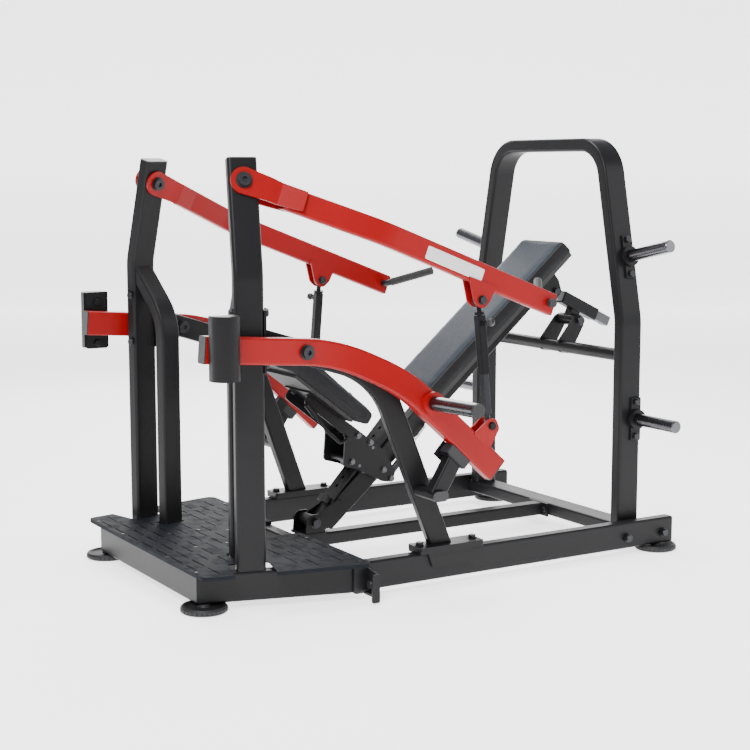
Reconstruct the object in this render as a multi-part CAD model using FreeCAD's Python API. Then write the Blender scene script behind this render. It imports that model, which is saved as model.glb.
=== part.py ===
import FreeCAD, Part
import math
import os

# Plate-loaded converging lever press with an incline bench and a foot platform.
# Millimetres, +Z up, the person on the bench faces -X, their left is -Y.
# Each right-hand piece is drawn once and mirrored about y = 0 for the left.

V = FreeCAD.Vector
os.makedirs("parts", exist_ok=True)

# Driving dimensions
X_SHIFT = 325.0
WALL = 3.0
BEAM_TOP = 125.0
RAIL_Y = 543.0
RAIL_FRONT = -771.0
RAIL_REAR = 611.0
PLATFORM_FRONT = -1342.0
PLATFORM_REAR = -779.0
DECK_TOP = 138.0
YAW = math.radians(15.5)
UPRIGHT = V(-1152, 451, BEAM_TOP)
UPRIGHT_BEND_Z = 1119.0
UPRIGHT_TOP_Z = 1490.0
POST = V(-1112, 300, BEAM_TOP)
ARCH_X = 452.0
ARCH_LEG_Y = 472.0
ARCH_TOP_Z = 1578.0
PIVOT_R = 12.0
RUN = 0.05
HORN_R = 25.0
STORE_R = 23.5
UPPER_PIVOT = V(-1132, 379, 1415)
YOKE_END = V(-1002, 428, 1366)
UPPER_BEND = V(-712, 571, 1250)
UPPER_END = V(4, 571, 976)
LOWER_PIVOT = V(-984, 520, 859)
LOWER_ARM = [V(-1347, 518, 886.6), V(-860, 521, 849.6), V(-650, 618, 743.5), V(-290, 640, 415.2)]
LINK_TOP = V(-313, 571, 1007)
LINK_LOW = V(-312, 635, 572)
BENCH_PIVOT = V(-681, 0, 150)
BENCH_ANGLE = math.radians(40.7)
BENCH_ORIGIN = V(134, 0, 864.5)
SPINE_DEPTH = 80.0
PAD_THICK = 70.0
RACK_ANGLE = math.radians(47.2)
RACK_POINT = V(-573, 0, 256)
SLEEVE = V(544, 0, 849)
CLEVIS = V(441, 0, 970)
STRUT_DIR = V(0.904, 0, -0.4277)

E1 = V(math.cos(YAW), math.sin(YAW), 0)
ACROSS = V(-math.sin(YAW), math.cos(YAW), 0)
LEAN = V(0.0655, -0.2364, 0.9694)
PIVOT_AXIS = V(-0.2589, 0.9341, 0.2453)
Y_AXIS = V(0, 1, 0)
Z_AXIS = V(0, 0, 1)


def unit(vector):
    return V(vector) * (1.0 / vector.Length)


def box(x0, x1, y0, y1, z0, z1):
    return Part.makeBox(x1 - x0, y1 - y0, z1 - z0, V(x0, y0, z0))


def rod(start, end, radius):
    return Part.makeCylinder(radius, (end - start).Length, start, end - start)


def fuse(shapes):
    return shapes[0].multiFuse(shapes[1:]) if len(shapes) > 1 else shapes[0]


def cut(shape, tools):
    return shape.cut(fuse(tools))


def mirror(shape):
    return shape.mirror(V(0, 0, 0), Y_AXIS)


def pair(shape):
    return [shape, mirror(shape)]


def outline(centre, a, b, w, h, r):
    """Rounded rectangle, w along a and h along b."""
    ends = []
    for i, (sa, sb) in enumerate([(1, 1), (-1, 1), (-1, -1), (1, -1)]):
        k = r * (1 - math.sqrt(0.5))
        corner = [
            centre + a * (sa * w / 2) + b * (sb * (h / 2 - r)),
            centre + a * (sa * (w / 2 - k)) + b * (sb * (h / 2 - k)),
            centre + a * (sa * (w / 2 - r)) + b * (sb * h / 2),
        ]
        ends.append(corner if i % 2 == 0 else corner[::-1])
    edges = []
    for i in range(4):
        edges.append(Part.Arc(*ends[i]).toShape())
        edges.append(Part.LineSegment(ends[i][2], ends[(i + 1) % 4][0]).toShape())
    return Part.Wire(edges)


def bar(start, end, side, w, h, r):
    """Straight rounded bar, w along side."""
    along = unit(end - start)
    a = unit(side - along * side.dot(along))
    b = along.cross(a)
    return Part.Face(outline(start, a, b, w, h, r)).extrude(end - start)


def straight_tube(start, end, side, w, h, r, wall=WALL):
    along = unit(end - start)
    inner = bar(start - along, end + along, side, w - 2 * wall, h - 2 * wall, max(r - wall, 1))
    return bar(start, end, side, w, h, r).cut(inner)


def bend_path(points, radii):
    """Straights joined by arcs of the given radii."""
    edges = []
    here = points[0]
    for i in range(1, len(points) - 1):
        back = unit(points[i - 1] - points[i])
        on = unit(points[i + 1] - points[i])
        half = back.getAngle(on) / 2
        radius = radii[i - 1]
        start = points[i] + back * (radius / math.tan(half))
        end = points[i] + on * (radius / math.tan(half))
        middle = points[i] + unit(back + on) * (radius / math.sin(half) - radius)
        edges.append(Part.LineSegment(here, start).toShape())
        edges.append(Part.Arc(start, middle, end).toShape())
        here = end
    edges.append(Part.LineSegment(here, points[-1]).toShape())
    return Part.Wire(edges)


def bent_bar(points, radii, side, w, h, r):
    along = unit(points[1] - points[0])
    a = unit(side - along * side.dot(along))
    b = along.cross(a)
    maker = Part.BRepOffsetAPI.MakePipeShell(bend_path(points, radii))
    maker.setBiNormalMode(side)
    maker.add(outline(points[0], a, b, w, h, r))
    maker.build()
    maker.makeSolid()
    return Part.Solid(maker.shape())


def bent_tube(points, radii, side, w, h, r, wall=WALL):
    inner = bent_bar(points, radii, side, w - 2 * wall, h - 2 * wall, max(r - wall, 1))
    return bent_bar(points, radii, side, w, h, r).cut(inner)


def bent_rod(points, radii, radius):
    path = bend_path(points, radii)
    ring = Part.makeCircle(radius, points[0], points[1] - points[0])
    maker = Part.BRepOffsetAPI.MakePipeShell(path)
    maker.add(Part.Wire([ring]))
    maker.build()
    maker.makeSolid()
    return Part.Solid(maker.shape())


def loop(points, radii):
    """Closed outline with rounded corners."""
    corners = []
    for i, point in enumerate(points):
        if radii[i] == 0:
            corners.append((point, None, point))
            continue
        back = unit(points[i - 1] - point)
        on = unit(points[(i + 1) % len(points)] - point)
        half = back.getAngle(on) / 2
        reach = radii[i] / math.tan(half)
        middle = point + unit(back + on) * (radii[i] / math.sin(half) - radii[i])
        corners.append((point + back * reach, middle, point + on * reach))
    edges = []
    for i, (start, middle, end) in enumerate(corners):
        if middle is not None:
            edges.append(Part.Arc(start, middle, end).toShape())
        edges.append(Part.LineSegment(end, corners[(i + 1) % len(points)][0]).toShape())
    return Part.Wire(edges)


def slab(points, radii, travel):
    if not isinstance(radii, list):
        radii = [radii] * len(points)
    return Part.Face(loop(points, radii)).extrude(travel)


def side_plate(points, radii, y0, y1):
    """Plate with an outline in x and z, between two values of y."""
    return slab([V(x, y0, z) for x, z in points], radii, V(0, y1 - y0, 0))


def end_cap(point, out, side, w, h, r, wall=WALL):
    """Moulded cap: a flange over the tube's end and a plug inside it."""
    flange = bar(point, point + out * 4, side, w, h, r)
    plug = bar(point - out * 16, point, side, w - 2 * wall - 0.6, h - 2 * wall - 0.6, max(r - wall, 1))
    return flange.fuse(plug)


def bolt(point, out, radius, deep, washer=True):
    """Hex-head bolt standing on a face, with the shank going in to the given depth."""
    out = unit(out)
    ref = Z_AXIS if abs(out.z) < 0.9 else V(1, 0, 0)
    a = unit(ref - out * ref.dot(out))
    b = out.cross(a)
    foot = 2.5 if washer else 0
    pieces = [rod(point - out * deep, point + out, radius)]
    if washer:
        pieces.append(rod(point, point + out * foot, radius * 2.1))
    corners = []
    for i in range(6):
        angle = math.radians(60 * i)
        corners.append(point + out * foot + (a * math.cos(angle) + b * math.sin(angle)) * radius * 1.85)
    head = Part.Face(Part.makePolygon(corners + [corners[0]])).extrude(out * radius * 1.25)
    round_off = Part.makeCone(radius * 2.4, radius * 1.5, radius * 1.3, point + out * foot, out)
    pieces.append(head.common(round_off))
    return fuse(pieces)


def socket_bolt(point, out, radius, height, deep):
    """Round-head bolt with a hex socket in its head."""
    out = unit(out)
    head = rod(point, point + out * height, radius)
    ref = Z_AXIS if abs(out.z) < 0.9 else V(1, 0, 0)
    a = unit(ref - out * ref.dot(out))
    b = out.cross(a)
    corners = []
    for i in range(6):
        angle = math.radians(60 * i)
        corners.append(point + out * height + (a * math.cos(angle) + b * math.sin(angle)) * radius * 0.45)
    key = Part.Face(Part.makePolygon(corners + [corners[0]])).extrude(out * (-height * 0.6))
    head = head.cut(key)
    return head if deep == 0 else head.fuse(rod(point - out * deep, point, radius * 0.5))


def hole(point, axis, radius, reach):
    axis = unit(axis)
    return rod(point - axis * reach, point + axis * reach, radius)


def spine(s, p, y=0.0):
    """Point on the bench: s up along it, p square to the back of the pad."""
    c = math.cos(BENCH_ANGLE)
    n = math.sin(BENCH_ANGLE)
    return V(BENCH_ORIGIN.x + s * c - p * n, y, BENCH_ORIGIN.z + s * n + p * c)


def rack(s, p, y=0.0):
    """Point on the seat's rack: s up along its top face, p square to it."""
    c = math.cos(RACK_ANGLE)
    n = math.sin(RACK_ANGLE)
    return V(RACK_POINT.x + s * c - p * n, y, RACK_POINT.z + s * n + p * c)


def save(name, shape):
    shapes = shape if isinstance(shape, list) else [shape]
    solids = []
    for item in shapes:
        solids.extend(item.Solids)
    whole = Part.makeCompound(solids) if len(solids) > 1 else solids[0]
    whole.translate(V(X_SHIFT, 0, 0))
    whole.exportStep("parts/" + name + ".step")
    print(name, len(solids), round(whole.Volume / 1000, 1), whole.isValid())


# Foot platform: two beams that flare to the rear, three cross beams and a folded deck
flare = math.atan2(587 - 430, PLATFORM_REAR - PLATFORM_FRONT)
flare_dir = V(math.cos(flare), math.sin(flare), 0)
flare_in = V(math.sin(flare), -math.cos(flare), 0)
corner = V(PLATFORM_FRONT, 430, 75)
inner_turn = (50 - 50 * flare_in.x) / flare_dir.x
inner_corner = corner + flare_in * 50 + flare_dir * inner_turn
beam_mid = corner + flare_in * 25
side_beam = straight_tube(beam_mid - flare_dir * 60, beam_mid + flare_dir * 700, Z_AXIS, 100, 50, 8)
keep = slab(
    [corner + V(0, 0, -60), V(-829, 640, 15), V(-829, 300, 15), inner_corner + V(0, 0, -60)],
    0, V(0, 0, 120),
)
side_beam = side_beam.common(keep)

front_beam = straight_tube(V(-1317, -460, 75), V(-1317, 460, 75), Z_AXIS, 100, 50, 8)
front_keep = slab(
    [
        corner + V(0, 0, -60),
        inner_corner + V(0, 0, -60),
        V(inner_corner.x, -inner_corner.y, 15),
        V(corner.x, -corner.y, 15),
    ],
    0, V(0, 0, 120),
)
front_beam = front_beam.common(front_keep)
middle_beam = straight_tube(V(-1112, -480, 75), V(-1112, 480, 75), Z_AXIS, 100, 50, 8)
middle_keep = slab(
    [
        corner + flare_in * 50 + flare_dir * 100 + V(0, 0, -60),
        corner + flare_in * 50 + flare_dir * 400 + V(0, 0, -60),
        V(-950, 0, 15),
        V(-1250, 0, 15),
    ],
    0, V(0, 0, 120),
)
middle_beam = fuse([middle_beam.common(middle_keep), middle_beam.common(mirror(middle_keep))])
rear_beam = straight_tube(V(-804, -587, 75), V(-804, 587, 75), Z_AXIS, 100, 50, 8)
save("platform_frame", pair(side_beam) + [front_beam, middle_beam, rear_beam])

deck_edge = [
    V(-1357, -516, BEAM_TOP), V(-779, -640, BEAM_TOP), V(-779, -110, BEAM_TOP), V(-960, -110, BEAM_TOP),
    V(-960, 110, BEAM_TOP), V(-779, 110, BEAM_TOP), V(-779, 640, BEAM_TOP), V(-1357, 516, BEAM_TOP),
]
deck_radii = [30, 28, 6, 12, 12, 6, 28, 30]
deck_wire = loop(deck_edge, deck_radii)
deck = Part.Face(deck_wire).extrude(V(0, 0, DECK_TOP - BEAM_TOP))
hollow = Part.Face(deck_wire).makeOffset2D(-3.5).extrude(V(0, 0, DECK_TOP - BEAM_TOP - 3.5))
ribs = [
    box(-1340, -1296, -400, 400, BEAM_TOP, DECK_TOP - 3),
    box(-1130, -1094, -220, 220, BEAM_TOP, DECK_TOP - 3),
    box(-825, -785, 130, 560, BEAM_TOP, DECK_TOP - 3),
    box(-825, -785, -560, -130, BEAM_TOP, DECK_TOP - 3),
]
deck = fuse([deck.cut(hollow)] + ribs)
openings = []
for shape in [
    bar(UPRIGHT + ACROSS * 50 - Z_AXIS * 5, UPRIGHT + ACROSS * 50 + Z_AXIS * 30, E1, 142, 176, 10),
    bar(POST - Z_AXIS * 5, POST + Z_AXIS * 30, E1, 92, 62, 8),
]:
    openings += pair(shape)
slots = []
for row in range(12):
    x = -1334 + row * 48
    for column in range(-5, 6):
        y = column * 128 + (64 if row % 2 else 0)
        if abs(y) > 480 + (x + 1357) * 0.21 - 45:
            continue
        if x > -1000 and abs(y) < 185:
            continue
        if -1262 < x < -1050 and abs(y) > 330:
            continue
        if -1190 < x < -1040 and 200 < abs(y) < 400:
            continue
        slots.append(bar(V(x, y, BEAM_TOP - 5), V(x, y, DECK_TOP + 5), Y_AXIS, 96, 5, 2.4))
deck = cut(deck, openings + slots)
save("platform_deck", deck)

# Base rails, the cross member the arch stands on, and the centre beam under the bench
rail = straight_tube(V(RAIL_FRONT, RAIL_Y, 75), V(RAIL_REAR, RAIL_Y, 75), Z_AXIS, 100, 50, 8)

plate_hole_x = [388.0, 566.0]
end_plate = box(369, 585, 568, 576, 30, 112)
end_plate = cut(end_plate, [hole(V(x, 572, 68), Y_AXIS, 8.3, 20) for x in plate_hole_x])
joint_plate = slab([V(-779, 520, 28), V(-779, 656, 28), V(-779, 656, 104), V(-779, 520, 122)], 6, V(8, 0, 0))
flange = side_plate([(-800, 6), (-771, 6), (-771, 104), (-800, 104)], 5, 656, 664)
joint_plate = cut(joint_plate, [hole(V(-775, 626, 62), V(1, 0, 0), 9.3, 20)])
bracket = joint_plate.fuse(flange)
foot_lip = box(-800, -779, 606, 656, 28, 36)
bracket = bracket.fuse(foot_lip)
save("anchor_brackets", pair(bracket))

cross = straight_tube(V(ARCH_X, -518, 80), V(ARCH_X, 518, 80), Z_AXIS, 50, 100, 8)
save("rear_cross_member", cross)
centre = straight_tube(V(-779, 0, 77), V(394, 0, 77), Y_AXIS, 60, 50, 8)
centre_flange = box(394, 402, -62, 62, 50, 104)
centre_flange = cut(centre_flange, [hole(V(398, y, 79), V(1, 0, 0), 6.3, 20) for y in (-48, 48)])

# Uprights, brace posts and the tubes that carry the lower arm pivots
bend = V(UPRIGHT.x, UPRIGHT.y, UPRIGHT_BEND_Z)
top = bend + LEAN * ((UPRIGHT_TOP_Z - UPRIGHT_BEND_Z) / LEAN.z)
upright = bent_tube([UPRIGHT, bend, top], [150], E1, 100, 50, 12)
pivot_sleeve = rod(UPPER_PIVOT - PIVOT_AXIS * 25, UPPER_PIVOT + PIVOT_AXIS * 25, 22)
plate_centre = UPRIGHT + E1 * 54 - ACROSS * 14
bolt_heights = [990.0, 815.0]
front_holes = []
for z in bolt_heights:
    front_holes.append(hole(V(UPRIGHT.x, UPRIGHT.y, z) - ACROSS * 8, E1, 8.3, 70))
upright = upright.fuse(pivot_sleeve)
upright = cut(upright, [hole(UPPER_PIVOT, PIVOT_AXIS, PIVOT_R + RUN, 60)] + front_holes)
save("upright_left", mirror(upright))
save("upright_right", upright)

post_turn = V(POST.x, POST.y, 912)
post_end = post_turn + (ACROSS * 0.66 + Z_AXIS * 0.751) * 260
post = bent_tube([POST, post_turn, post_end], [200], E1, 80, 50, 10)
post = post.cut(bent_bar([UPRIGHT, bend, top], [150], E1, 100.2, 50.2, 12))
post = post.Solids[0] if post.Solids[0].Volume > post.Solids[-1].Volume else post.Solids[-1]
save("brace_posts", pair(post))

h_dir = V(math.cos(math.radians(7.2)), math.sin(math.radians(7.2)), 0)
h_side = V(-h_dir.y, h_dir.x, 0)


def support_point(x, z):
    return V(x, 467 + 0.127 * (x + 984), z)


support = bent_tube(
    [support_point(-1135, 905.8), support_point(-685, 766), support_point(-438, 118)],
    [280], h_side, 40, 80, 8,
)
block = slab(
    [
        plate_centre + E1 * 4 + ACROSS * 200 + Z_AXIS * 400,
        plate_centre + E1 * 4 - ACROSS * 200 + Z_AXIS * 400,
        plate_centre - E1 * 200 - ACROSS * 200 + Z_AXIS * 400,
        plate_centre - E1 * 200 + ACROSS * 200 + Z_AXIS * 400,
    ],
    0, Z_AXIS * 800,
)
support = support.cut(block)
support = support.cut(box(-700, -200, 400, 700, 0, 149))
low_pivot_in = V(LOWER_PIVOT.x, 440, LOWER_PIVOT.z)
low_pivot_out = V(LOWER_PIVOT.x, 492, LOWER_PIVOT.z)
upright_plate = bar(
    V(plate_centre.x, plate_centre.y, 895) - E1 * 4, V(plate_centre.x, plate_centre.y, 895) + E1 * 4,
    ACROSS, 76, 212, 6,
)
upright_plate = cut(upright_plate, front_holes)
foot_plate = slab(
    [V(-557, 498, 137), V(-557, 588, 137), V(-290, 588, 137), V(-290, 498, 137)],
    8, V(0, 0, 12),
)
foot_bolts = [V(-535, RAIL_Y, 149), V(-312, RAIL_Y, 149)]
foot_plate = cut(foot_plate, [hole(p, Z_AXIS, 8.3, 30) for p in foot_bolts])
support = fuse([support, rod(low_pivot_in, low_pivot_out, 24), upright_plate, foot_plate])
support = cut(support, [hole(LOWER_PIVOT - Y_AXIS * 54, Y_AXIS, PIVOT_R + RUN, 60)])
save("arm_support_left", mirror(support))
save("arm_support_right", support)

saddle = slab([V(-557, 500, 125), V(-557, 586, 125), V(-290, 586, 125), V(-290, 500, 125)], 8, V(0, 0, 12))
saddle = cut(saddle, [hole(p - Z_AXIS * 18, Z_AXIS, 8.3, 12) for p in foot_bolts])
hanger = side_plate([(-500, 70), (-350, 70), (-330, 125), (-520, 125)], [10, 10, 0, 0], 568.2, 576)
save("base_rails", pair(rail.fuse(saddle.fuse(hanger))))

# Stops for the lower arms
arm_dir = unit(LOWER_ARM[3] - LOWER_ARM[2])
arm_plane = unit(V(arm_dir.x, 0, arm_dir.z))
arm_up = V(-arm_plane.z, 0, arm_plane.x)
stop_line = V(-431, 632, 0)
arm_z = LOWER_ARM[2].z + (stop_line.x - LOWER_ARM[2].x) * arm_dir.z / arm_dir.x
arm_at = V(stop_line.x, 632, arm_z) + arm_plane * 34
stop_face = arm_at - arm_up * 45.6
rubber_mid = stop_face - arm_up * 17
stub = straight_tube(V(-531, 540, 346), V(-531, 668, 346), Z_AXIS, 36, 62, 17)
stub = stub.cut(bent_bar(
    [support_point(-1135, 905.8), support_point(-685, 766), support_point(-438, 118)],
    [280], h_side, 40.2, 80.2, 8,
))
stub = stub.Solids[0]
riser_end = rubber_mid - arm_up * 17
riser = straight_tube(V(-531, 632, 346), riser_end, Y_AXIS, 44, 62, 8)
riser = riser.cut(bar(V(-531, 530, 346), V(-531, 700, 346), Z_AXIS, 36, 62, 17))
riser = riser.Solids[0] if riser.Solids[0].Volume > riser.Solids[-1].Volume else riser.Solids[-1]
riser = riser.cut(bar(riser_end - arm_up * 6, riser_end + arm_up * 40, Y_AXIS, 90, 160, 4))
stop_seat = bar(riser_end - arm_up * 6, riser_end, Y_AXIS, 50, 84, 4)
riser = fuse([riser, stop_seat])
tab_foot = riser_end - arm_plane * 36 - Y_AXIS * 28
tab = bar(tab_foot - arm_up * 24, tab_foot + arm_up * 36, Y_AXIS, 4, 46, 1.5)
save("stop_risers", pair(fuse([stub, riser])) + pair(tab))
rubber = bar(riser_end, stop_face, Y_AXIS, 50, 100, 5)
save("arm_stop_rubbers", pair(rubber))

# Weight storage arch with four storage horns
arch_mid = ARCH_TOP_Z - 25
lean_y = ARCH_LEG_Y - 0.21 * (arch_mid - 890)
arch_points = [
    V(ARCH_X, -ARCH_LEG_Y, 105), V(ARCH_X, -ARCH_LEG_Y, 890), V(ARCH_X, -lean_y, arch_mid),
    V(ARCH_X, lean_y, arch_mid), V(ARCH_X, ARCH_LEG_Y, 890), V(ARCH_X, ARCH_LEG_Y, 105),
]
arch = bent_tube(arch_points, [200, 135, 135, 200], V(1, 0, 0), 100, 50, 10)
save("storage_arch", arch)

tube_ends = [V(460, -446.8, 748), V(460, 446.8, 748)]
cross_tube = rod(tube_ends[0], tube_ends[1], 24).cut(rod(tube_ends[0], tube_ends[1], 21))
bracket_shape = [(438, 724), (500, 716), (572, 838), (544, 877), (516, 862), (440, 772)]
for y in (-64, 56):
    ear = side_plate(bracket_shape, [18, 18, 26, 26, 20, 18], y, y + 8)
    ear = ear.cut(hole(SLEEVE, Y_AXIS, 10.2, 90))
    ear = ear.cut(rod(tube_ends[0], tube_ends[1], 23.9))
    cross_tube = cross_tube.fuse(ear)
save("arch_cross_tube", cross_tube)

lean_out = unit(V(0, 1, 0.21))
lean_up = unit(V(0, -0.21, 1))
low_horn = V(474, 497, 509)
high_horn = V(466, 423.0, 1123.3) + lean_out * 25.2
plates = []
horns = []
horn_bolts = []
for base, out, along, reach in [(low_horn, Y_AXIS, Z_AXIS, 237), (high_horn, lean_out, lean_up, 245)]:
    plate = bar(base, base + out * 8, V(1, 0, 0), 46, 166, 5)
    collar = rod(base + out * 8, base + out * 22, 38)
    holes = [hole(base + along * step, out, 7.3, 20) for step in (-66, 66)]
    plates += pair(fuse([cut(plate, holes), collar]))
    horn = rod(base + out * 22, base + out * (reach - 3), STORE_R)
    tip = Part.makeCone(STORE_R, STORE_R - 3, 3, base + out * (reach - 3), out)
    horns += pair(horn.fuse(tip))
    for step in (-66, 66):
        horn_bolts += pair(bolt(base + out * 8 + along * step, out, 7, 8))
save("storage_horn_plates", plates)
save("storage_horns", horns)

# Moulded caps, feet and fasteners of the fixed frame
caps = []
caps += pair(end_cap(V(RAIL_REAR, RAIL_Y, 75), V(1, 0, 0), Z_AXIS, 100, 50, 8))
caps += pair(end_cap(V(-804, 587, 75), Y_AXIS, Z_AXIS, 100, 50, 8))
caps += pair(end_cap(top, LEAN, E1, 100, 50, 12))
caps += pair(end_cap(V(-531, 668, 346), Y_AXIS, Z_AXIS, 36, 62, 17))
save("frame_end_caps", caps)

foot_profile = [
    V(0, 0, 0), V(74, 0, 0), V(80, 0, 5), V(80, 0, 15), V(75, 0, 22), V(66, 0, 22),
    V(60, 0, 17), V(22, 0, 17), V(17, 0, 25), V(0, 0, 25), V(0, 0, 0),
]
foot = Part.Face(Part.makePolygon(foot_profile)).revolve(V(0, 0, 0), Z_AXIS, 360)
foot = Part.Solid(foot)
ribs = []
for i in range(30):
    angle = math.radians(12 * i)
    at = V(80.5 * math.cos(angle), 80.5 * math.sin(angle), 6)
    ribs.append(Part.makeCylinder(2.6, 10, at, Z_AXIS))
foot = cut(foot, ribs)
feet = []
for x, y in [(-1315, 430), (553, RAIL_Y)]:
    one = foot.copy()
    one.translate(V(x, y, 0))
    feet += pair(one)
save("rubber_feet", feet)

bolts = list(horn_bolts)
for z in bolt_heights:
    at = V(UPRIGHT.x, UPRIGHT.y, z) - ACROSS * 8
    bolts += pair(bolt(at - E1 * 50, E1 * -1, 8, 114))
    bolts += pair(bolt(at + E1 * 58, E1, 8, 0.2))
for point in foot_bolts:
    bolts += pair(bolt(point, Z_AXIS, 8, 24))
for x in plate_hole_x:
    bolts += pair(bolt(V(x, 576, 68), Y_AXIS, 8, 8))
for y in (-48, 48):
    bolts.append(bolt(V(394, y, 79), V(-1, 0, 0), 6, 8))
bolts += pair(bolt(V(-771, 626, 62), V(1, 0, 0), 9, 8))
bolts += pair(bolt(V(-779, 626, 62), V(-1, 0, 0), 9, 0.2))
for x, y in [(-1345, 200), (-1200, 120), (-1080, 120), (-990, 60), (-800, 200), (-800, 480), (-1345, 440)]:
    bolts += pair(Part.makeCone(7, 5, 1.8, V(x, y, DECK_TOP), Z_AXIS))
save("frame_bolts", bolts)

pivots = []
for centre_point, axis, near, far, head in [
    (UPPER_PIVOT, PIVOT_AXIS, -38.4, 38.4, 21.5),
    (V(LOWER_PIVOT.x, 0, LOWER_PIVOT.z), Y_AXIS, 439.7, 548.6, 20.0),
]:
    shank = rod(centre_point + axis * near, centre_point + axis * far, PIVOT_R)
    washer_out = rod(centre_point + axis * far, centre_point + axis * (far + 4), head + 6)
    washer_in = rod(centre_point + axis * (near - 4), centre_point + axis * near, head + 4)
    out_head = socket_bolt(centre_point + axis * (far + 4), axis, head, 13, 0)
    in_head = socket_bolt(centre_point + axis * (near - 4), axis * -1, head, 11, 0)
    pivots += pair(fuse([shank, washer_out, washer_in, out_head, in_head]))
for side in (-1, 1):
    washer = rod(UPPER_PIVOT + PIVOT_AXIS * 25.2 * side, UPPER_PIVOT + PIVOT_AXIS * 29.6 * side, 30)
    pivots += pair(washer.cut(hole(UPPER_PIVOT, PIVOT_AXIS, PIVOT_R + 0.2, 60)))

# Front bracket of the bench
bracket_base = box(-728, -634, -56, 56, 102, 110)
bracket_all = [bracket_base]
for y in (-52, 44):
    ear = side_plate([(-722, 110), (-640, 110), (-646, 182), (-716, 182)], [0, 0, 26, 26], y, y + 8)
    bracket_all.append(ear)
pivot_bracket = fuse(bracket_all).cut(hole(BENCH_PIVOT, Y_AXIS, 10.2, 90))
save("centre_beam", [centre, centre_flange, pivot_bracket])

for point, half in [(BENCH_PIVOT, 52), (SLEEVE, 64)]:
    shank = rod(point - Y_AXIS * half, point + Y_AXIS * half, 10)
    pivots.append(fuse([shank, bolt(point + Y_AXIS * half, Y_AXIS, 10, 0.5),
                        bolt(point - Y_AXIS * half, Y_AXIS * -1, 10, 0.5)]))
save("pivot_bolts", pivots)

# Bench: one long spine with the seat's rack on top of its lower half
spine_tube = straight_tube(spine(-1045, -55), spine(345, -55), Y_AXIS, 60, SPINE_DEPTH, 6)
front_sleeve = rod(BENCH_PIVOT - Y_AXIS * 43.6, BENCH_PIVOT + Y_AXIS * 43.6, 25)
gussets = []
for y in (-38, 30.0):
    points = [
        spine(-1084, 14, y), spine(-1060, 4, y), spine(-960, -20, y), spine(-930, -60, y),
        spine(-1040, -88, y), spine(-1100, -40, y),
    ]
    gussets.append(slab(points, [20, 14, 12, 20, 14, 20], Y_AXIS * 8))
clevis_plates = []
for y in (-38, 30.0):
    points = [spine(235, -25, y), spine(235, -85, y), spine(280, -144, y), spine(322, -144, y),
              spine(342, -95, y), spine(342, -25, y)]
    clevis_plates.append(slab(points, [8, 18, 16, 22, 18, 8], Y_AXIS * 8))
rack_tube = straight_tube(rack(-52, -26), rack(368, -26), Y_AXIS, 40, 40, 5)
rack_strip = slab(
    [rack(-52, -6, -42), rack(368, -6, -42), rack(368, 0, -42), rack(-52, 0, -42)],
    0, Y_AXIS * 84,
)
strip_holes = [hole(rack(20 + 40 * i, -3), rack(0, 1) - rack(0, 0), 7, 8) for i in range(9)]
rack_strip = cut(rack_strip, strip_holes)
rack_tube = rack_tube.cut(bar(spine(-1100, -55), spine(400, -55), Y_AXIS, 60.2, SPINE_DEPTH + 0.2, 6))
rack_tube = max(rack_tube.Solids, key=lambda item: item.Volume)
web = side_plate(
    [(rack(358, -46).x, rack(358, -46).z), (rack(300, -46).x, rack(300, -46).z),
     (spine(-596, -20).x, spine(-596, -20).z), (spine(-560, -20).x, spine(-560, -20).z)],
    0, -8, 8,
)
web = web.cut(bar(spine(-1100, -55), spine(400, -55), Y_AXIS, 59.9, SPINE_DEPTH - 0.2, 6))
spine_all = fuse([spine_tube, front_sleeve] + gussets + clevis_plates + [web])
spine_all = cut(spine_all, [hole(BENCH_PIVOT, Y_AXIS, 10 + RUN, 90), hole(CLEVIS, Y_AXIS, 8.3, 90)])
save("bench_spine", spine_all)
save("seat_rack", fuse([rack_tube, rack_strip]))

pad_low = -440
pad_high = 417
backrest = slab(
    [spine(pad_low, 0, -134), spine(pad_high, 0, -134), spine(pad_high, PAD_THICK, -134),
     spine(pad_low, PAD_THICK, -134)],
    [10, 14, 26, 22], Y_AXIS * 268,
)
save("backrest_pad", backrest)
board = slab([spine(-430, -14.8, -124), spine(407, -14.8, -124), spine(407, -0.3, -124),
              spine(-430, -0.3, -124)], 0, Y_AXIS * 248)
clips = []
for s in (-380, 60, 300):
    clip = slab([spine(s, -20.2, -100), spine(s + 34, -20.2, -100), spine(s + 34, -15, -100),
                 spine(s, -15, -100)], 0, Y_AXIS * 200)
    clips.append(clip.cut(bar(spine(-1100, -55), spine(400, -55), Y_AXIS, 60.1, SPINE_DEPTH, 6)))
save("backrest_board", board)
stop_block = bar(rack(-50, 0.1), rack(-50, 0.1) + (rack(0, 24) - rack(0, 0)), Y_AXIS, 50, 30, 4)
save("rack_stop", stop_block)

# Seat, its carriage and the release lever
seat_side = [
    (-461, 551), (-784, 831), (-862, 822), (-894, 762), (-812, 736), (-542, 530), (-496, 511),
]
seat = side_plate(seat_side, [18, 60, 34, 22, 60, 20, 14], -135, 135)
save("seat_pad", seat)
seat_line = unit(V(-270, 0, 206))
seat_down = V(seat_line.z * -1, 0, seat_line.x)
seat_low = V(-556, 0, 540.7) + seat_down * 0.4
seat_high = seat_low + seat_line * 300
seat_board = slab(
    [seat_low - Y_AXIS * 122, seat_high - Y_AXIS * 122, seat_high + seat_down * 12 - Y_AXIS * 122,
     seat_low + seat_down * 12 - Y_AXIS * 122],
    0, Y_AXIS * 244,
)
save("seat_board", seat_board)

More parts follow.
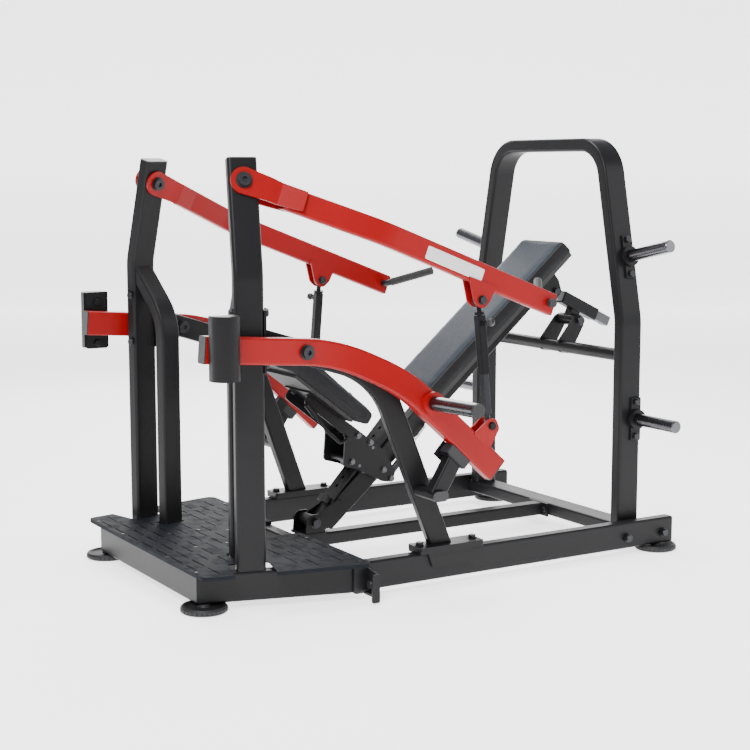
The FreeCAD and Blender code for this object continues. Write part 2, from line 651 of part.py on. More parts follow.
carriage_outline = [
    (-716, 645), (-600, 556), (-518, 497), (-467, 479), (-438, 468), (-401, 434), (-388, 391), (-347, 317),
    (-360, 277), (-407, 285), (-510, 340), (-575, 359), (-571, 408), (-566, 475), (-742, 612),
]
carriage_radii = [6, 10, 12, 14, 14, 14, 20, 22, 18, 24, 20, 16, 30, 30, 14]
carriage_bolts = [(-512, 470), (-458, 439), (-539, 373), (-400, 329), (-366, 292)]
axles = []
for s, r in [(118, 16.0), (205, 16.0)]:
    point = rack(s, 16.4)
    axles.append((point, r))
plates = []
for y in (-79, 71):
    plate = side_plate(carriage_outline, carriage_radii, y, y + 8)
    cuts = [hole(V(x, 0, z), Y_AXIS, 6.3, 120) for x, z in carriage_bolts]
    cuts += [hole(point, Y_AXIS, 6.2, 120) for point, r in axles]
    plates.append(cut(plate, cuts))
rest_low = seat_low + seat_line * 30 + seat_down * 12.2
rest_high = seat_low + seat_line * 205 + seat_down * 12.2
top_plate = slab(
    [rest_low - Y_AXIS * 92, rest_high - Y_AXIS * 92, rest_high + seat_down * 7 - Y_AXIS * 92,
     rest_low + seat_down * 7 - Y_AXIS * 92],
    0, Y_AXIS * 184,
)
under_seat = slab(
    [seat_high - Y_AXIS * 200 + seat_down * 12.1, seat_high + Y_AXIS * 200 + seat_down * 12.1,
     seat_low + Y_AXIS * 200 + seat_down * 12.1 - seat_line * 200,
     seat_low - Y_AXIS * 200 + seat_down * 12.1 - seat_line * 200],
    0, seat_down * -200,
)
plates = [plate.cut(under_seat) for plate in plates]
carriage = fuse(plates + [top_plate])
save("carriage_plates", carriage)

spacers = []
for x, z in carriage_bolts[:3]:
    spacers.append(rod(V(x, -70.9, z), V(x, 70.9, z), 9))
    for side in (-1, 1):
        spacers.append(bolt(V(x, 79 * side, z), Y_AXIS * side, 6, 8.1))
for x, z in carriage_bolts[3:]:
    for side in (-1, 1):
        spacers.append(bolt(V(x, 79 * side, z), Y_AXIS * side, 6, 8.1))
for step in (90, 180):
    for side in (-1, 1):
        point = seat_low + seat_line * step + seat_down * 19.2 + Y_AXIS * 60 * side
        spacers.append(bolt(point, seat_down, 5, 0))

rollers = []
for point, r in axles:
    wheel = rod(point - Y_AXIS * 40, point + Y_AXIS * 40, r).cut(hole(point, Y_AXIS, 6.2, 90))
    rollers.append(wheel)
axle_parts = [rod(point - Y_AXIS * 79, point + Y_AXIS * 79, 6) for point, r in axles]
under_rollers = []
for s in (118, 205):
    for side in (-1, 1):
        point = rack(s, -16.4)
        under_rollers.append(rod(point + Y_AXIS * 31 * side, point + Y_AXIS * 70.8 * side, 10))
save("carriage_fittings", spacers + rollers + axle_parts + under_rollers)

# Gas spring beside the spine: the cylinder rides on the carriage, the rod is held by the spine
gas_dir = rack(1, 0) - rack(0, 0)
gas_low = V(-366, -52, 292)
gas_top = gas_low + gas_dir * 256
gas_body = rod(gas_low + gas_dir * 16, gas_low + gas_dir * 170, 13)
gas_bore = rod(gas_low + gas_dir * 26, gas_low + gas_dir * 171, 5.05)
gas_eye = rod(gas_low - Y_AXIS * 7, gas_low + Y_AXIS * 7, 12)
gas_neck = rod(gas_low + gas_dir * 8, gas_low + gas_dir * 20, 8)
gas_body = fuse([gas_body.cut(gas_bore), gas_eye, gas_neck])
gas_body = gas_body.fuse(rod(gas_low - Y_AXIS * 18.7, gas_low - Y_AXIS * 5, 5))
save("gas_spring_body", gas_body)
gas_rod = rod(gas_low + gas_dir * 100, gas_top, 5)
gas_end = rod(gas_top - Y_AXIS * 7, gas_top + Y_AXIS * 21.8, 10)
save("gas_spring_rod", gas_rod.fuse(gas_end))

# Seat release lever
lever_points = [V(-564, -95, 465), V(-598, -95, 451), V(-649, -95, 496), V(-701, -95, 560)]
lever = bent_rod(lever_points, [10, 24], 6)
lever_pin = rod(V(-564, -100, 465), V(-564, -79.4, 465), 9)
grip_dir = unit(lever_points[3] - lever_points[2])
lever_knob = rod(lever_points[3] + grip_dir * 0.1, lever_points[3] + grip_dir * 62, 11)
save("release_lever", [lever.fuse(lever_pin), lever_knob])

# Strut that holds the bench at its angle
strut_up = V(0.4277, 0, 0.904)
outer = straight_tube(CLEVIS + STRUT_DIR * 62, CLEVIS + STRUT_DIR * 250, Y_AXIS, 50, 50, 5)
strut_sleeve = rod(SLEEVE - Y_AXIS * 55.5, SLEEVE + Y_AXIS * 55.5, 24)
web_foot = SLEEVE - STRUT_DIR * 22
strut_web = slab(
    [web_foot - Y_AXIS * 20, web_foot + STRUT_DIR * 44 - Y_AXIS * 20,
     web_foot + STRUT_DIR * 44 + strut_up * 45 - Y_AXIS * 20, web_foot + strut_up * 45 - Y_AXIS * 20],
    0, Y_AXIS * 40,
)
strut_web = strut_web.cut(bar(CLEVIS, CLEVIS + STRUT_DIR * 300, Y_AXIS, 49, 49, 5))
outer = fuse([outer, strut_sleeve, strut_web]).cut(hole(SLEEVE, Y_AXIS, 10 + RUN, 90))
pin_at = CLEVIS + STRUT_DIR * 215
outer = outer.cut(hole(pin_at - strut_up * 25, strut_up, 5.4, 8))
save("strut_outer", outer)
inner_tube = straight_tube(CLEVIS + STRUT_DIR * 26, CLEVIS + STRUT_DIR * 325, Y_AXIS, 40, 40, 4)
eye = rod(CLEVIS - Y_AXIS * 22, CLEVIS + Y_AXIS * 22, 19).cut(hole(CLEVIS, Y_AXIS, 14, 60))
neck = bar(CLEVIS + STRUT_DIR * 16, CLEVIS + STRUT_DIR * 27, Y_AXIS, 38, 30, 4)
strut_holes = [hole(CLEVIS + STRUT_DIR * (95 + 40 * i), strut_up, 6, 60) for i in range(6)]
save("strut_inner", cut(fuse([inner_tube, eye, neck]), strut_holes))
clevis_bolt = fuse([
    rod(CLEVIS - Y_AXIS * 38, CLEVIS + Y_AXIS * 38, 8),
    bolt(CLEVIS + Y_AXIS * 38, Y_AXIS, 8, 0.5), bolt(CLEVIS - Y_AXIS * 38, Y_AXIS * -1, 8, 0.5),
])
save("bench_fittings", clips + [clevis_bolt])

# Upper arms: a yoke over the upright, a bent tube, ears for the link, and a handle
yoke_dir = unit((YOKE_END - UPPER_PIVOT) - PIVOT_AXIS * (YOKE_END - UPPER_PIVOT).dot(PIVOT_AXIS))
yoke_up = PIVOT_AXIS.cross(yoke_dir)
arm_tube = bent_tube([UPPER_END, UPPER_BEND, YOKE_END], [250], Y_AXIS, 40, 80, 8)
arm_solid = bent_bar([UPPER_END, UPPER_BEND, YOKE_END], [250], Y_AXIS, 40, 80, 8)


def yoke_point(t, n):
    return UPPER_PIVOT + yoke_dir * t + PIVOT_AXIS * n - yoke_up * 60


yoke = []
for side in (1, -1):
    inner = [(-60, 30), (88, 30), (128, 24 - 4 * side), (230, 24 + 12.8 * side)]
    outer_line = [(t, n + 8) for t, n in inner]
    ring = [yoke_point(t, n * side) for t, n in inner]
    ring += [yoke_point(t, n * side) for t, n in outer_line[::-1]]
    strip = slab(ring, 0, yoke_up * 120)
    round_end = rod(UPPER_PIVOT - PIVOT_AXIS * 80, UPPER_PIVOT + PIVOT_AXIS * 80, 45)
    centre_line = UPPER_PIVOT - PIVOT_AXIS * 80
    body = slab(
        [centre_line + yoke_up * 45, centre_line + yoke_dir * 215 + yoke_up * 34,
         centre_line + yoke_dir * 215 - yoke_up * 34, centre_line - yoke_up * 45],
        0, PIVOT_AXIS * 160,
    )
    yoke.append(strip.common(round_end.fuse(body)))
yoke_solid = [item.cut(arm_solid) for item in yoke]
ears = []
for y in (546, 588):
    ear = side_plate([(-368, 1092), (-346, 1000), (-313, 972), (-280, 1000), (-252, 1052)],
                     [0, 26, 24, 26, 0], y, y + 8)
    ears.append(ear.cut(arm_solid))
handle_in = V(-15, 526, 984)
grip_dir = unit(V(105, -145, 52))
handle_path = [V(-15, 611, 984), handle_in, handle_in + grip_dir * 208]
handle_hole = hole(V(-15, 571, 984), Y_AXIS, 13.2, 40)
upper_arm = fuse([arm_tube] + yoke_solid + ears)
upper_arm = cut(upper_arm, [hole(UPPER_PIVOT, PIVOT_AXIS, PIVOT_R + RUN, 70), handle_hole,
                            hole(LINK_TOP, Y_AXIS, 8.05, 60)])
handle = bent_rod(handle_path, [30], 13)
grip = rod(handle_in + grip_dir * 24, handle_in + grip_dir * 212, 16)
grip = grip.cut(rod(handle_in + grip_dir * 10, handle_in + grip_dir * 208.2, 13.1))
stub_grip = rod(V(-15, 595, 984), V(-15, 614, 984), 15.5)
stub_grip = stub_grip.cut(rod(V(-15, 590, 984), V(-15, 611.2, 984), 13.1))
arm_end_dir = unit(UPPER_END - UPPER_BEND)
arm_cap = end_cap(UPPER_END, arm_end_dir, Y_AXIS, 40, 80, 8).cut(handle_hole)
trim = [arm_cap, grip, stub_grip]
link_pin_top = fuse([
    rod(V(LINK_TOP.x, 546, LINK_TOP.z), V(LINK_TOP.x, 596, LINK_TOP.z), 8),
    bolt(V(LINK_TOP.x, 596, LINK_TOP.z), Y_AXIS, 8, 0.5),
    bolt(V(LINK_TOP.x, 546, LINK_TOP.z), Y_AXIS * -1, 8, 0.5),
])

# Lower arms: pivot sleeve, load horn, counterweight and ears for the link
low_tube = bent_tube(LOWER_ARM, [420, 420], Y_AXIS, 50, 90, 8)
low_solid = bent_bar(LOWER_ARM, [420, 420], Y_AXIS, 50, 90, 8)
low_sleeve = rod(V(LOWER_PIVOT.x, 492.6, LOWER_PIVOT.z), V(LOWER_PIVOT.x, 548.2, LOWER_PIVOT.z), 26)
horn_dir = unit(V(0, 1, 0.035))
horn_base = V(-555, 646, 669)
collar = rod(horn_base, horn_base + horn_dir * 20, 40).cut(low_solid)
ear_foot = V(LINK_LOW.x, 0, LINK_LOW.z)
# The inner ear is thicker and has a round recess for the rod end as it leans
eye_recess = rod(V(LINK_LOW.x, 611.2, LINK_LOW.z), V(LINK_LOW.x, 617, LINK_LOW.z), 31)
low_ears = []
for y, thick in [(606, 9.5), (652, 8)]:
    points = [
        ear_foot + arm_up * 30 - arm_plane * 4, ear_foot + arm_up * 14 + arm_plane * 32,
        ear_foot + arm_plane * 50 - arm_up * 70, ear_foot - arm_plane * 40 - arm_up * 70,
        ear_foot - arm_plane * 25 + arm_up * 12,
    ]
    points = [p + Y_AXIS * y for p in points]
    ear = slab(points, [16, 20, 0, 0, 18], Y_AXIS * thick)
    low_ears.append(ear.cut(low_solid).cut(eye_recess))
low_arm = fuse([low_tube, low_sleeve, collar] + low_ears)
low_pin = hole(LINK_LOW, Y_AXIS, 7.05, 60)
low_arm = cut(low_arm, [hole(LOWER_PIVOT, Y_AXIS, PIVOT_R + RUN, 60), low_pin])
load_horn = rod(horn_base + horn_dir * 20, horn_base + horn_dir * 272, HORN_R)
horn_end = rod(horn_base + horn_dir * 272, horn_base + horn_dir * 282, HORN_R - 0.5)
front_dir = unit(LOWER_ARM[0] - LOWER_ARM[1])
low_caps = [
    end_cap(LOWER_ARM[0] + front_dir * 0.4, front_dir, Y_AXIS, 50, 90, 8, WALL + 1),
    end_cap(LOWER_ARM[3] + arm_dir * 1.4, arm_dir, Y_AXIS, 50, 90, 8, WALL + 2),
    horn_end,
]
weight_profile = Part.Wire([
    Part.Arc(V(-1342, 570, 788), V(-1294, 620, 788), V(-1246, 570, 788)).toShape(),
    Part.LineSegment(V(-1246, 570, 788), V(-1246, 551, 788)).toShape(),
    Part.LineSegment(V(-1246, 551, 788), V(-1342, 551, 788)).toShape(),
    Part.LineSegment(V(-1342, 551, 788), V(-1342, 570, 788)).toShape(),
])
weight = Part.Face(weight_profile).extrude(V(0, 0, 210))
weight_plate = slab(
    [V(-1336, 544.2, 784), V(-1252, 544.2, 784), V(-1252, 544.2, 994), V(-1336, 544.2, 994)],
    6, V(0, 6.7, 0),
)
weight_bolts = [V(-1294, 544.2, 960), V(-1294, 544.2, 806)]
weight_plate = cut(weight_plate, [hole(p, Y_AXIS, 7.3, 7) for p in weight_bolts])
weight_parts = [bolt(p, Y_AXIS * -1, 7, 6.5) for p in weight_bolts]
link_pin_low = fuse([
    rod(V(LINK_LOW.x, 606, LINK_LOW.z), V(LINK_LOW.x, 660, LINK_LOW.z), 7),
    bolt(V(LINK_LOW.x, 660, LINK_LOW.z), Y_AXIS, 7, 0.5),
    bolt(V(LINK_LOW.x, 606, LINK_LOW.z), Y_AXIS * -1, 7, 0.5),
])

# Links between the arms: ball, rod end, square outer tube, inner tube with its rod end, pop pin
link_dir = unit(LINK_LOW - LINK_TOP)
link_len = (LINK_LOW - LINK_TOP).Length
link_side = unit(Y_AXIS - link_dir * Y_AXIS.dot(link_dir))
ball = Part.makeSphere(15, LINK_TOP).common(box(-340, -280, 560, 582, 980, 1040))
ball = ball.cut(hole(LINK_TOP, Y_AXIS, 8.05, 30))
housing = rod(LINK_TOP - link_side * 9, LINK_TOP + link_side * 9, 23).cut(Part.makeSphere(15.4, LINK_TOP))
housing_stem = rod(LINK_TOP + link_dir * 20, LINK_TOP + link_dir * 56, 9)
housing_collar = rod(LINK_TOP + link_dir * 44, LINK_TOP + link_dir * 54, 19)
rod_end = fuse([housing, housing_stem, housing_collar]).cut(Part.makeSphere(15.4, LINK_TOP))
outer_end = 262
link_outer = straight_tube(
    LINK_TOP + link_dir * 56.2, LINK_TOP + link_dir * outer_end, link_side, 32, 32, 4, 3,
)
pin_point = LINK_TOP + link_dir * 84
boss = rod(pin_point + link_side * 16, pin_point + link_side * 34, 9)
link_outer = link_outer.fuse(boss).cut(rod(pin_point, pin_point + link_side * 40, 5.1))
link_inner = straight_tube(
    LINK_TOP + link_dir * 96, LINK_TOP + link_dir * (link_len - 40), link_side, 25, 25, 3, 3,
)
low_stem = rod(LINK_TOP + link_dir * (link_len - 48), LINK_LOW - link_dir * 18, 9)
low_eye = rod(LINK_LOW - link_side * 4.5, LINK_LOW + link_side * 4.5, 20)
low_plug = bar(
    LINK_TOP + link_dir * (link_len - 44), LINK_TOP + link_dir * (link_len - 36), link_side, 24, 24, 3,
)
link_inner = fuse([link_inner, low_stem, low_eye, low_plug]).cut(hole(LINK_LOW, link_side, 15.8, 30))
pin_knob = Part.makeSphere(14, pin_point + link_side * 66)
pin_stem = rod(pin_point + link_side * 17, pin_point + link_side * 60, 5)
pop_pin = pin_stem.fuse(pin_knob)

for name, flip in [("left", True), ("right", False)]:
    nodes = {
        "upper_arm": upper_arm,
        "upper_fittings": [handle, link_pin_top],
        "upper_trim": trim,
        "lower_arm": low_arm,
        "load_horn": load_horn,
        "lower_caps": low_caps,
        "counterweight": [weight],
        "lower_fittings": [weight_plate, link_pin_low] + weight_parts,
        "link_ball": ball,
        "link_outer": [rod_end, link_outer],
        "link_inner": link_inner,
        "link_pop_pin": pop_pin,
    }
    for node, shape in nodes.items():
        parts = shape if isinstance(shape, list) else [shape]
        save(node + "_" + name, [mirror(item) if flip else item for item in parts])
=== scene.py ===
import math

import bmesh
import bpy
import numpy as np
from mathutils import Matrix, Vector
from mathutils.bvhtree import BVHTree


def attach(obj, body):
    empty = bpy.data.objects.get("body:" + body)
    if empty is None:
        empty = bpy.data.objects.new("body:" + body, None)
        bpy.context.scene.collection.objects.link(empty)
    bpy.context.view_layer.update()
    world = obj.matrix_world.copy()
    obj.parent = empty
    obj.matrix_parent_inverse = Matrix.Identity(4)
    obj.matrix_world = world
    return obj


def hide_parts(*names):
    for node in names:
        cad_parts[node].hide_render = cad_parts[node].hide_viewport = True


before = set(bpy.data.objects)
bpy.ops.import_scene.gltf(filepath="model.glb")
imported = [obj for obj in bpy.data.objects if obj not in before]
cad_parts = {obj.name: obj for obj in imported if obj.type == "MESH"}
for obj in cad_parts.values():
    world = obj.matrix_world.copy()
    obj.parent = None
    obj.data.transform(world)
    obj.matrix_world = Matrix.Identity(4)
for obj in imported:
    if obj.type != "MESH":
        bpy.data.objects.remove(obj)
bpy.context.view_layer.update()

# The fixed frame: platform, rails, uprights, brace posts and the storage arch.
# Square-edged steel tube, welded, with a charcoal powder coat that has a fine
# baked grain.


class Value:
    """A shader socket that takes part in arithmetic."""

    def __init__(self, recipe, socket):
        self.recipe = recipe
        self.socket = socket

    def math(self, operation, first, second):
        return self.recipe.node(
            "ShaderNodeMath", {"operation": operation}, {0: first, 1: second}
        )

    def __add__(self, other):
        return self.math("ADD", self, other)

    def __radd__(self, other):
        return self.math("ADD", other, self)

    def __sub__(self, other):
        return self.math("SUBTRACT", self, other)

    def __rsub__(self, other):
        return self.math("SUBTRACT", other, self)

    def __mul__(self, other):
        return self.math("MULTIPLY", self, other)

    def __rmul__(self, other):
        return self.math("MULTIPLY", other, self)

    def above(self, edge, width):
        """0 below edge, 1 above it, with a soft step of the given width."""
        return self.recipe.node(
            "ShaderNodeMapRange",
            {"interpolation_type": "SMOOTHSTEP"},
            {"Value": self, "From Min": edge - width / 2, "From Max": edge + width / 2},
        )


class Recipe:
    """A material with one Principled shader and the nodes that feed it."""

    def __init__(self, name, **fixed):
        self.material = bpy.data.materials.new(name)
        self.material.use_nodes = True
        self.tree = self.material.node_tree
        self.shader = self.tree.nodes["Principled BSDF"]
        for key, value in fixed.items():
            self.shader.inputs[key.replace("_", " ")].default_value = value
        self.place = self.node("ShaderNodeTexCoord", output="Object")

    def node(self, kind, settings=(), inputs=(), output=0):
        made = self.tree.nodes.new(kind)
        for key, value in dict(settings).items():
            setattr(made, key, value)
        for key, value in dict(inputs).items():
            self.feed(made.inputs[key], value)
        return Value(self, made.outputs[output])

    def feed(self, socket, value):
        if isinstance(value, Value):
            self.tree.links.new(value.socket, socket)
        else:
            socket.default_value = value

    def noise(self, scale, detail=3.0, place=None):
        return self.node(
            "ShaderNodeTexNoise", {},
            {"Vector": place or self.place, "Scale": scale, "Detail": detail},
        )

    def mix(self, factor, low, high):
        """Colour between low and high."""
        return self.node(
            "ShaderNodeMix", {"data_type": "RGBA"},
            {0: factor, 6: (*low, 1) if isinstance(low, tuple) else low,
             7: (*high, 1) if isinstance(high, tuple) else high},
            output=2,
        )

    def across(self, direction, origin=(0, 0, 0)):
        """Distance in metres from origin along a direction."""
        offset = self.node(
            "ShaderNodeVectorMath", {"operation": "SUBTRACT"}, {0: self.place, 1: origin}
        )
        return self.node(
            "ShaderNodeVectorMath", {"operation": "DOT_PRODUCT"},
            {0: offset, 1: direction}, output="Value",
        )

    def finish(self, colour=None, roughness=None, height=None, relief=0.0002, strength=0.5):
        if colour is not None:
            self.feed(self.shader.inputs["Base Color"], colour)
        if roughness is not None:
            self.feed(self.shader.inputs["Roughness"], roughness)
        if height is not None:
            bump = self.node(
                "ShaderNodeBump", {},
                {"Height": height, "Distance": relief, "Strength": strength}, output="Normal",
            )
            self.feed(self.shader.inputs["Normal"], bump)
        return self.material


def powder_coat(name, deep, pale, rough, speck, shine=0.17):
    """Baked powder: a grain of about 2 mm, an orange peel of 6 mm and broad drifts."""
    coat = Recipe(name, Specular_IOR_Level=shine)
    grain = coat.noise(620, 2)
    peel = coat.noise(190, 2)
    drift = coat.noise(5, 4)
    specks = grain.above(0.6, 0.16)
    body = coat.mix(drift * 0.5 + grain * 0.5, deep, pale)
    colour = coat.mix(specks * speck, body, tuple(min(1, c * 2.2 + 0.006) for c in pale))
    return coat.finish(
        colour, grain * 0.22 + drift * 0.08 + (rough - 0.15), grain * 0.6 + peel * 0.6, 0.0003, 0.45
    )


def paint(material, *names):
    for name in names:
        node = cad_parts[name]
        for slot in node.material_slots:
            slot.material = material


charcoal = powder_coat(
    "charcoal_powder_coat", (0.0058, 0.0057, 0.0064), (0.0115, 0.0112, 0.0122), 0.38, 0.08
)
paint(
    charcoal, "platform_frame", "base_rails", "anchor_brackets", "rear_cross_member",
    "centre_beam", "upright_left", "upright_right", "brace_posts", "storage_arch",
)

# Foot platform deck: a folded sheet tray with punched slots, coated in a
# bluer grey that shoes have dulled in scattered patches.


def tread_coat():
    tread = Recipe("tread_powder_coat", Specular_IOR_Level=0.08)
    grain = tread.noise(700, 2)
    scuff = tread.noise(26, 6)
    worn = scuff.above(0.56, 0.2)
    body = tread.mix(grain, (0.0055, 0.0068, 0.0092), (0.011, 0.013, 0.017))
    colour = tread.mix(worn * 0.3, body, (0.018, 0.020, 0.024))
    return tread.finish(colour, 0.58 + worn * 0.14 + grain * 0.12, grain + scuff * 0.3, 0.0003, 0.5)


paint(tread_coat(), "platform_deck")

# Brackets and supports bolted to the frame: laser-cut plate and bent tube in
# the same charcoal powder, coloured a shade darker than the frame's.
bracket_coat = powder_coat(
    "bracket_powder_coat", (0.0050, 0.0049, 0.0055), (0.0100, 0.0097, 0.0106), 0.35, 0.07
)
paint(
    bracket_coat, "arm_support_left", "arm_support_right", "stop_risers", "storage_horn_plates",
    "arch_cross_tube", "seat_rack", "carriage_plates", "strut_outer",
)

# Moulded rubber and plastic: feet with ribbed rims, stop blocks, end caps and
# knobs. Matt black with the fine spark-eroded texture of the mould.


def moulded(name, tone, rough, scale):
    piece = Recipe(name)
    texture = piece.noise(scale, 3)
    dust = piece.noise(9, 5)
    dusty = dust.above(0.55, 0.3)
    body = piece.mix(texture, tuple(c * 0.7 for c in tone), tone)
    colour = piece.mix(dusty * 0.3, body, tuple(c + 0.008 for c in tone))
    return piece.finish(colour, rough + texture * 0.1 + dusty * 0.08, texture, 0.0004, 0.5)


rubber = moulded("black_rubber", (0.010, 0.010, 0.011), 0.55, 800)
plastic = moulded("black_plastic", (0.011, 0.011, 0.012), 0.36, 1100)
paint(rubber, "rubber_feet", "arm_stop_rubbers", "rack_stop")
paint(plastic, "frame_end_caps", "link_pop_pin_left", "link_pop_pin_right",
      "lower_caps_left", "lower_caps_right")

# Horns: turned steel bar with a smoky dark chrome, and the small bright parts,
# the gas spring's rod and the balls of the rod ends, in clear chrome.


def plated(name, tone, rough):
    bar = Recipe(name, Metallic=1.0)
    rings = bar.node(
        "ShaderNodeVectorMath", {"operation": "MULTIPLY"}, {0: bar.place, 1: (30, 1400, 30)}
    )
    turned = bar.noise(1.0, 2, rings)
    smear = bar.noise(34, 4)
    colour = bar.mix(smear, tuple(c * 0.86 for c in tone), tone)
    return bar.finish(colour, rough + smear * 0.10 + turned * 0.05, turned, 0.00004, 0.3)


paint(plated("bright_chrome", (0.78, 0.79, 0.81), 0.10), "gas_spring_rod",
      "link_ball_left", "link_ball_right")
paint(plated("dark_chrome", (0.13, 0.13, 0.14), 0.18), "storage_horns", "load_horn_left",
      "load_horn_right")

# Fasteners and plain steel: black-oxide hex and socket heads, and dark zinc on
# the strut's inner tube and the rollers, with the plating's faint cloudy spangle.


def steel(name, tone, rough, cloud):
    metal = Recipe(name, Metallic=0.9)
    fine = metal.noise(420, 3)
    patches = metal.noise(cloud, 4)
    colour = metal.mix(patches, tuple(c * 0.72 for c in tone), tone)
    return metal.finish(colour, rough + patches * 0.16 + fine * 0.08, fine, 0.0001, 0.4)


black_steel = steel("black_oxide_steel", (0.050, 0.050, 0.055), 0.30, 120)
zinc = steel("zinc_plate", (0.11, 0.112, 0.117), 0.30, 70)
paint(black_steel, "frame_bolts", "pivot_bolts", "upper_fittings_left", "upper_fittings_right",
      "bench_fittings", "gas_spring_body", "link_inner_left", "link_inner_right")
paint(zinc, "carriage_fittings", "strut_inner")

# Bench spine and release lever share the frame's charcoal coat; the boards
# behind the pads are birch ply sprayed black.
paint(charcoal, "bench_spine", "release_lever")


def sprayed_ply():
    board = Recipe("sprayed_ply")
    stretched = board.node(
        "ShaderNodeVectorMath", {"operation": "MULTIPLY"}, {0: board.place, 1: (14, 160, 14)}
    )
    grain = board.noise(1.0, 5, stretched)
    colour = board.mix(grain, (0.012, 0.012, 0.012), (0.026, 0.025, 0.024))
    return board.finish(colour, 0.5 + grain * 0.16, grain, 0.0004, 0.5)


paint(sprayed_ply(), "backrest_board", "seat_board")

# Arms: bent tube, yoke plates and ears welded up and coated satin red. Links
# and counterweights hang on them in charcoal.
red = powder_coat("red_powder_coat", (0.21, 0.0010, 0.0018), (0.30, 0.0026, 0.0032), 0.34, 0.03, 0.24)
for side in ("left", "right"):
    paint(red, f"upper_arm_{side}", f"lower_arm_{side}")
    paint(bracket_coat, f"lower_fittings_{side}", f"link_outer_{side}", f"counterweight_{side}")

# Handle grips: ribbed rubber sleeves pushed over the handle bars.


def ribbed_grip(name, side):
    grip = Recipe(name)
    along = grip.across((0.5637, -0.7785 * side, 0.2792))
    ribs = grip.node("ShaderNodeMath", {"operation": "SINE"}, {0: along * 1400})
    texture = grip.noise(900, 2)
    colour = grip.mix(texture, (0.009, 0.009, 0.010), (0.017, 0.017, 0.018))
    return grip.finish(colour, 0.52 + texture * 0.14, ribs * 0.5 + texture * 0.4, 0.0006, 0.6)


paint(ribbed_grip("left_ribbed_grip", -1), "upper_trim_left")
paint(ribbed_grip("right_ribbed_grip", 1), "upper_trim_right")

# Pads: a foam block on a ply board under stretched vinyl. The cover swells
# between its edges, and a welt is sewn where the face meets the side.
BENCH_RISE = math.radians(40.7)
UP_BENCH = Vector((math.cos(BENCH_RISE), 0, math.sin(BENCH_RISE)))
OFF_BENCH = Vector((-math.sin(BENCH_RISE), 0, math.cos(BENCH_RISE)))


def vinyl(name, face, side_tone, off, edge_at):
    """Grained vinyl, with the face cloth in one tone and the side panel in another."""
    cover = Recipe(name, Sheen_Weight=0.05, Specular_IOR_Level=0.25)
    grain = cover.node(
        "ShaderNodeTexVoronoi", {"feature": "DISTANCE_TO_EDGE"},
        {"Vector": cover.place, "Scale": 330},
    )
    pores = cover.noise(900, 2)
    rub = cover.noise(7, 5)
    facing = cover.across(tuple(off), tuple(edge_at)).above(0.0, 0.002)
    base = cover.mix(facing, side_tone, face)
    worn = cover.mix(facing, tuple(c * 1.5 for c in side_tone), tuple(c * 1.4 for c in face))
    shade = cover.mix(rub * 0.5 + pores * 0.4, base, worn)
    creases = cover.noise(24, 3)
    height = grain.above(0.06, 0.1) * 0.35 + pores * 0.2 + creases * 0.9
    return cover.finish(shade, 0.46 + pores * 0.12 + rub * 0.1, height, 0.0009, 0.5)


def mesh_object(name, vertices, faces):
    mesh = bpy.data.meshes.new(name)
    mesh.from_pydata(vertices.tolist(), [], faces.tolist())
    mesh.polygons.foreach_set("use_smooth", [True] * len(mesh.polygons))
    mesh.update()
    made = bpy.data.objects.new(name, mesh)
    bpy.context.scene.collection.objects.link(made)
    return made


def baked(thing):
    """A copy of the mesh as its modifiers leave it."""
    bpy.context.view_layer.update()
    return bpy.data.meshes.new_from_object(thing.evaluated_get(bpy.context.evaluated_depsgraph_get()))


def coordinates(mesh):
    places = np.empty(len(mesh.vertices) * 3)
    mesh.vertices.foreach_get("co", places)
    return places.reshape(-1, 3)


def stuffed(name, node, off, back, cap):
    """Foam pad: the CAD block is remeshed, shrunk a little, blown up as cloth with its
    back held flat on the board, and no point goes further than cap."""
    block = bmesh.new()
    block.from_mesh(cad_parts[node].data)
    bmesh.ops.remove_doubles(block, verts=block.verts, dist=0.00002)
    mesh = bpy.data.meshes.new(name)
    block.to_mesh(mesh)
    block.free()
    pad = bpy.data.objects.new(name, mesh)
    bpy.context.scene.collection.objects.link(pad)
    voxel = pad.modifiers.new("remesh", "REMESH")
    voxel.mode = "VOXEL"
    voxel.voxel_size = 0.0055
    pad.data = baked(pad)
    pad.modifiers.clear()
    start = coordinates(pad.data)
    normals = np.empty(len(start) * 3)
    pad.data.vertices.foreach_get("normal", normals)
    height = (start - np.array(back)) @ np.array(off)
    lift = np.clip(height / 0.012, 0, 1)[:, None]
    start = start - normals.reshape(-1, 3) * 0.004 * lift
    pad.data.vertices.foreach_set("co", start.ravel())
    held = pad.vertex_groups.new(name="held")
    held.add([int(i) for i in np.flatnonzero(height < 0.010)], 1.0, "REPLACE")
    cloth = pad.modifiers.new("cloth", "CLOTH")
    cloth.settings.use_pressure = True
    cloth.settings.uniform_pressure_force = 4.0
    cloth.settings.effector_weights.gravity = 0.0
    cloth.settings.vertex_group_mass = "held"
    cloth.settings.quality = 4
    for number in range(1, 21):
        bpy.context.scene.frame_set(number)
    blown = coordinates(baked(pad))
    pad.modifiers.clear()
    bpy.context.scene.frame_set(1)
    move = blown - start
    reach = np.linalg.norm(move, axis=1, keepdims=True)
    start = start + move * np.minimum(1.0, cap / np.maximum(reach, 1e-9))
    pad.data.vertices.foreach_set("co", start.ravel())
    smooth = pad.modifiers.new("even", "CORRECTIVE_SMOOTH")
    smooth.use_only_smooth = True
    smooth.iterations = 6
    round_off = pad.modifiers.new("round", "SUBSURF")
    round_off.levels = 1
    round_off.render_levels = 1
    pad.data = baked(pad)
    pad.modifiers.clear()
    pad.vertex_groups.clear()
    pad.data.polygons.foreach_set("use_smooth", [True] * len(pad.data.polygons))
    return pad


